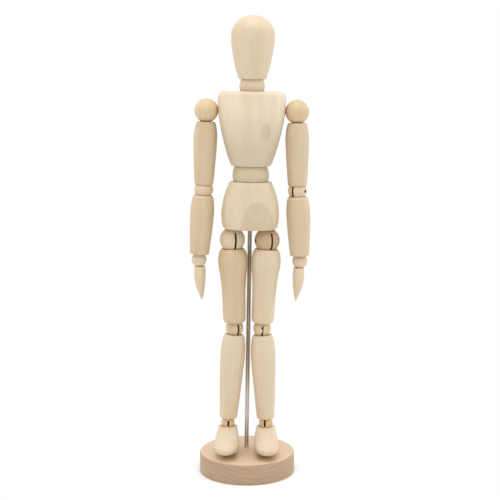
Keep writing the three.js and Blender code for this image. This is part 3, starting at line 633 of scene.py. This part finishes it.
def limb(side, name):
    plan = LIMBS[name]
    upper = place(f"{side}_{SWINGS[plan['upper']]}")
    lower = place(f"{side}_{SWINGS[plan['lower']]}")
    length = (upper - lower).length / MM
    top = -plan["drop"]
    bottom = plan["rise"] - length
    shape = [(radius, top + (bottom - top) * share) for share, radius in reversed(plan["outline"])]
    upper_radius = BALLS[plan["upper"]] / 2 + GAP
    lower_radius = BALLS[plan["lower"]] / 2 + GAP
    bore_drop = math.sqrt(upper_radius**2 - (SPRING_BORE / 2) ** 2)
    bore_rise = math.sqrt(lower_radius**2 - (SPRING_BORE / 2) ** 2)
    outline = smooth(shape)
    outline += socket_arc(upper_radius, top, -bore_drop)
    outline += [(r, z - length) for r, z in socket_arc(lower_radius, bore_rise, plan["rise"])]
    made = turned(f"{side}_{name}_fine", outline, round_trip=True)
    made.data.materials.append(limb_wood if f"{side}_{name}" in PALE_LIMBS else arm_wood)
    put(made, f"{side}_{name}", f"{side}_{name}", stand_at(upper, upper - lower))


# Torso blocks, head, feet and hands


def block(name, sections, size):
    width, depth, height = size
    rings = []
    for share, wide, deep, power in smooth(sections):
        half_depth = depth / 2 * deep
        rings.append(rounded_ring(width / 2 * wide, half_depth, half_depth, height * share, power))
    return skin(name, rings)


def pelvis():
    hips = [place(f"{side}_hip_turn") for side in ("left", "right")]
    bottom = (hips[0] + hips[1]) / 2 + figure_up * PELVIS_ABOVE_HIP * MM
    half_spacing = (hips[0] - hips[1]).length / 2 / MM
    waist_above = (place("waist_bend") - bottom).dot(figure_up) / MM
    rod_back = (place("figure_turn") - bottom).dot(-AHEAD) / MM
    made = block("pelvis_fine", PELVIS, PELVIS_SIZE)
    made.data.materials.append(pelvis_wood)
    rod_bore = cylinder("rod_bore", ROD_DIAMETER + 2 * GAP, -CUT_OVER, ROD_IN_PELVIS, ROUND_SIDES)
    carve(made, [
        moved(sphere("waist_socket", WAIST_BALL + 2 * GAP), z=waist_above),
        cylinder("waist_bore", SPRING_BORE, waist_above - WAIST_BALL / 2 - TORSO_SPRING_GRIP, waist_above),
        moved(rod_bore, y=rod_back),
    ], hollow_wood)
    for direction in (-1, 1):
        x = direction * half_spacing
        hip = moved(sphere("hip_socket", BALLS["hip"] + 2 * GAP), x=x, z=-PELVIS_ABOVE_HIP)
        bore = moved(cylinder("hip_bore", SPRING_BORE, 0, BALLS["hip"] / 2 + HIP_BORE_PAST_BALL), x=x)
        carve(made, [hip, bore], hollow_wood)
    put(made, "pelvis", "pelvis", stand_at(bottom, figure_up))


def chest():
    bottom = place("waist_bend") + figure_up * CHEST_ABOVE_WAIST * MM
    neck_above = (place("neck_bend") - bottom).dot(figure_up) / MM
    shoulders = [place(f"{side}_shoulder_turn") for side in ("left", "right")]
    half_spacing = (shoulders[0] - shoulders[1]).length / 2 / MM
    shoulder_above = (shoulders[0] - bottom).dot(figure_up) / MM
    made = block("chest_fine", CHEST, CHEST_SIZE)
    made.data.materials.append(chest_wood)
    cross_bore = cylinder("cross_bore", SPRING_BORE, -half_spacing, half_spacing)
    carve(made, [
        moved(sphere("waist_socket", WAIST_BALL + 2 * GAP), z=-CHEST_ABOVE_WAIST),
        moved(sphere("neck_socket", NECK_BALL + 2 * GAP), z=neck_above),
    ], hollow_wood)
    carve(made, [
        cylinder("waist_bore", SPRING_BORE, 0, WAIST_BALL / 2 - CHEST_ABOVE_WAIST + TORSO_SPRING_GRIP),
        cylinder("neck_bore", SPRING_BORE, neck_above - NECK_BALL / 2 - NECK_SPRING_GRIP, neck_above),
        moved(cross_bore, z=shoulder_above, along_x=True),
    ], hollow_wood)
    for direction in (-1, 1):
        seat = sphere("shoulder_socket", BALLS["shoulder"] + 2 * GAP)
        carve(made, [moved(seat, x=direction * half_spacing, z=shoulder_above)], hollow_wood)
    put(made, "chest", "chest", stand_at(bottom, figure_up))


def bored_ball(name, diameter, centre):
    """A ball with a flat above and below and a bore through both."""
    radius = diameter / 2
    edge = math.asin(BALL_FLAT)
    outline = [(SPRING_BORE / 2, -radius * BALL_FLAT)]
    for step in range(BALL_ROWS + 1):
        angle = -edge + 2 * edge * step / BALL_ROWS
        outline.append((radius * math.cos(angle), radius * math.sin(angle)))
    outline.append((SPRING_BORE / 2, radius * BALL_FLAT))
    made = turned(f"{name}_fine", outline, round_trip=True)
    made.data.materials.append(waist_wood if name == "waist" else limb_wood)
    put(made, name, name, stand_at(centre, figure_up))


def head():
    bottom = place("neck_bend") + figure_up * HEAD_ABOVE_NECK * MM
    outline = [(max(wide * HEAD_WIDTH / 2, POLE), share * HEAD_HEIGHT) for share, wide in HEAD]
    made = turned("head_fine", smooth(outline))
    made.data.materials.append(limb_wood)
    carve(made, [
        moved(sphere("neck_socket", NECK_BALL + 2 * GAP), z=-HEAD_ABOVE_NECK),
        cylinder("neck_bore", SPRING_BORE, 0, NECK_BALL / 2 - HEAD_ABOVE_NECK + TORSO_SPRING_GRIP),
    ], hollow_wood)
    put(made, "head", "head", stand_at(bottom, figure_up))


def foot(side):
    ankle = place(f"{side}_ankle_swing")
    knee_above = (place(f"{side}_knee_turn") - ankle).dot(figure_up) / MM
    sole_drop = ANKLE_HEIGHT - SOLE_GAP
    height = sole_drop - COLLAR_DROP
    collar = COLLAR_DIAMETER / 2 - GAP
    rings = []
    for rise, wide, front, back, widest in smooth(FOOT):
        ahead = FOOT_WIDEST * widest
        rings.append(rounded_ring(
            FOOT_WIDTH / 2 * wide, FOOT_FRONT * front - ahead, FOOT_BACK * back + ahead,
            rise * height - sole_drop, FOOT_POWER, ahead,
        ))
    for grow, below in COLLAR_EDGE:
        reach = collar + grow
        rings.append(rounded_ring(reach, reach, reach, -COLLAR_DROP - below, 2))
    sole_radius = knee_above + sole_drop
    curved = []
    for ring in rings:
        curved.append([(x, y, max(z, knee_above - math.sqrt(sole_radius**2 - y**2))) for x, y, z in ring])
    made = skin(f"{side}_foot_fine", curved)
    made.data.materials.append(limb_wood)
    carve(made, [sphere("ankle_socket", BALLS["ankle"] + 2 * GAP)], hollow_wood)
    put(made, f"{side}_foot", f"{side}_foot", stand_at(ankle, figure_up, foot_across(side)))


def foot_across(side):
    turn = math.radians(TOE_OUT if side == "left" else -TOE_OUT)
    return Vector((math.cos(turn), math.sin(turn), 0))


def hand(side):
    wrist = place(f"{side}_wrist_swing")
    out = 1 if side == "left" else -1
    rings = []
    for drop, wide, broad, inward in reversed(smooth(HAND)):
        half_breadth = HAND_BREADTH / 2 * broad
        rings.append(rounded_ring(
            HAND_THICKNESS / 2 * wide, half_breadth, half_breadth, -drop * HAND_LENGTH, 2, side=-out * inward,
        ))
    made = skin(f"{side}_hand_fine", rings)
    made.data.materials.append(limb_wood)
    carve(made, [sphere("wrist_socket", BALLS["wrist"] + 2 * PIN_GAP)], hollow_wood)
    put(made, f"{side}_hand", f"{side}_hand", stand_at(wrist, figure_up))


# Stand


def rounded_corner(radius, z, size, start, stop):
    """An arc round a corner's own centre, in degrees from outward."""
    arc = []
    for step in range(ARC_STEPS + 1):
        angle = math.radians(start + (stop - start) * step / ARC_STEPS)
        arc.append((radius - size + size * math.cos(angle), z + size * math.sin(angle)))
    return arc


def stand():
    radius = BASE_DIAMETER / 2
    outline = [(POLE, 0)]
    outline += rounded_corner(radius, BASE_EDGE / 2, BASE_EDGE / 2, -90, 0)
    outline += rounded_corner(radius, BASE_THICKNESS - BASE_EDGE, BASE_EDGE, 0, 90)
    outline.append((POLE, BASE_THICKNESS))
    made = turned("base_fine", outline, 2 * ROUND_SIDES)
    low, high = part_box("support_rod")
    pivot = place("figure_turn")
    base_top = BASE_THICKNESS * MM
    foot_of_rod = pivot - figure_up * ((pivot.z - base_top) / figure_up.z)
    hole = cylinder("rod_hole", ROD_DIAMETER + 2 * PIN_GAP, -ROD_IN_BASE, 2 * CUT_OVER, ROUND_SIDES)
    hole.data.transform(stand_at(foot_of_rod, figure_up))
    made.data.materials.append(base_wood)
    carve(made, [hole], sawn_and_shaded_wood)
    put(made, "base", "stand", Matrix.Identity(4))
    half = ROD_DIAMETER / 2
    start = (low.z - base_top) / MM
    end = start + (high.z - low.z) / figure_up.z / MM
    rod = turned("support_rod_fine", [
        (POLE, start), (half - ROD_BEVEL, start), (half, start + ROD_BEVEL),
        (half, end - ROD_BEVEL), (half - ROD_BEVEL, end), (POLE, end),
    ])
    rod.data.materials.append(rod_steel)
    put(rod, "support_rod", "stand", stand_at(foot_of_rod, figure_up))


stand()
pelvis()
bored_ball("waist", WAIST_BALL, place("waist_bend"))
chest()
bored_ball("neck", NECK_BALL, place("neck_bend"))
head()
for side in ("left", "right"):
    for kind in BALLS:
        joint_ball(side, kind)
    for name in LIMBS:
        limb(side, name)
    foot(side)
    hand(side)
for name, node in frame["nodes"].items():
    if name.endswith("_pin") or name.endswith("_spring"):
        node.data.materials.clear()
        node.data.materials.append(spring_steel)

# Floor, light and camera

WHITE = (1.0, 1.0, 1.0, 1.0)
FLOOR_COLOUR = (0.9, 0.9, 0.9, 1.0)
FLOOR_REACH = 4000
# Distances in metres over which the floor fades into the white background
FLOOR_FADE = (0.033, 0.075)
SKY_LIGHT = 0.71
# The lamps are aimed at the middle of the figure
CENTRE = Vector((0, 0, 0.15))


def floor():
    corners = [(-1, -1), (1, -1), (1, 1), (-1, 1)]
    made = mesh_object("floor", [(x * FLOOR_REACH, y * FLOOR_REACH, 0) for x, y in corners], [(0, 1, 2, 3)])
    look = Finish("floor")
    look.shader.inputs["Base Color"].default_value = FLOOR_COLOUR
    look.shader.inputs["Roughness"].default_value = 0.9
    look.shader.inputs["Specular IOR Level"].default_value = 0.0
    own = look.node("ShaderNodeTexCoord").outputs["Object"]
    far = look.node("ShaderNodeVectorMath")
    far.operation = "LENGTH"
    look.give(own, far.inputs[0])
    glow = look.node("ShaderNodeEmission", Color=WHITE, Strength=1.0)
    mixed = look.node("ShaderNodeMixShader")
    away = look.spread(far.outputs["Value"], *FLOOR_FADE)
    path = look.node("ShaderNodeLightPath")
    seen = look.math("MAXIMUM", path.outputs["Is Camera Ray"], path.outputs["Is Glossy Ray"])
    look.give(look.math("MULTIPLY", away, seen), mixed.inputs[0])
    look.give(look.shader.outputs[0], mixed.inputs[1])
    look.give(glow.outputs[0], mixed.inputs[2])
    look.give(mixed.outputs[0], look.tree.nodes["Material Output"].inputs["Surface"])
    made.data.materials.append(look.material)


def sky():
    world = bpy.data.worlds.new("studio")
    bpy.context.scene.world = world
    world.use_nodes = True
    background = world.node_tree.nodes["Background"]
    background.inputs["Color"].default_value = WHITE
    tree = world.node_tree
    path = tree.nodes.new("ShaderNodeLightPath")
    seen = tree.nodes.new("ShaderNodeMath")
    seen.operation = "MAXIMUM"
    tree.links.new(path.outputs["Is Camera Ray"], seen.inputs[0])
    tree.links.new(path.outputs["Is Glossy Ray"], seen.inputs[1])
    strength = tree.nodes.new("ShaderNodeMapRange")
    tree.links.new(seen.outputs[0], strength.inputs["Value"])
    strength.inputs["To Min"].default_value = SKY_LIGHT
    strength.inputs["To Max"].default_value = 1.0
    tree.links.new(strength.outputs["Result"], background.inputs["Strength"])


def lamp(name, position, size, power):
    light = bpy.data.lights.new(name, "AREA")
    light.shape = "SQUARE"
    light.size = size
    light.energy = power
    made = bpy.data.objects.new(name, light)
    bpy.context.scene.collection.objects.link(made)
    made.location = position
    aim = CENTRE - Vector(position)
    made.rotation_euler = aim.to_track_quat("-Z", "Y").to_euler()


floor()
sky()
lamp("key", position=(-0.25, -0.7, 1.1), size=0.8, power=1.5)
lamp("top", position=(0.05, -0.3, 2.2), size=1.4, power=24)
lamp("left", position=(-0.95, 0.1, 0.45), size=0.9, power=1.6)
lamp("right", position=(0.95, 0.1, 0.45), size=0.9, power=2.2)

CAMERA_PLACE = (0.002, -0.7526, 0.2618)
CAMERA_DOWN = 8.52
CAMERA_LENS = 83.9
camera_data = bpy.data.cameras.new("camera")
camera_data.lens = CAMERA_LENS
camera_data.sensor_width = 36
camera = bpy.data.objects.new("camera", camera_data)
camera.location = CAMERA_PLACE
camera.rotation_euler = (math.radians(90 - CAMERA_DOWN), 0, 0)
bpy.context.scene.collection.objects.link(camera)
bpy.context.scene.camera = camera
bpy.context.scene.view_settings.view_transform = "Standard"
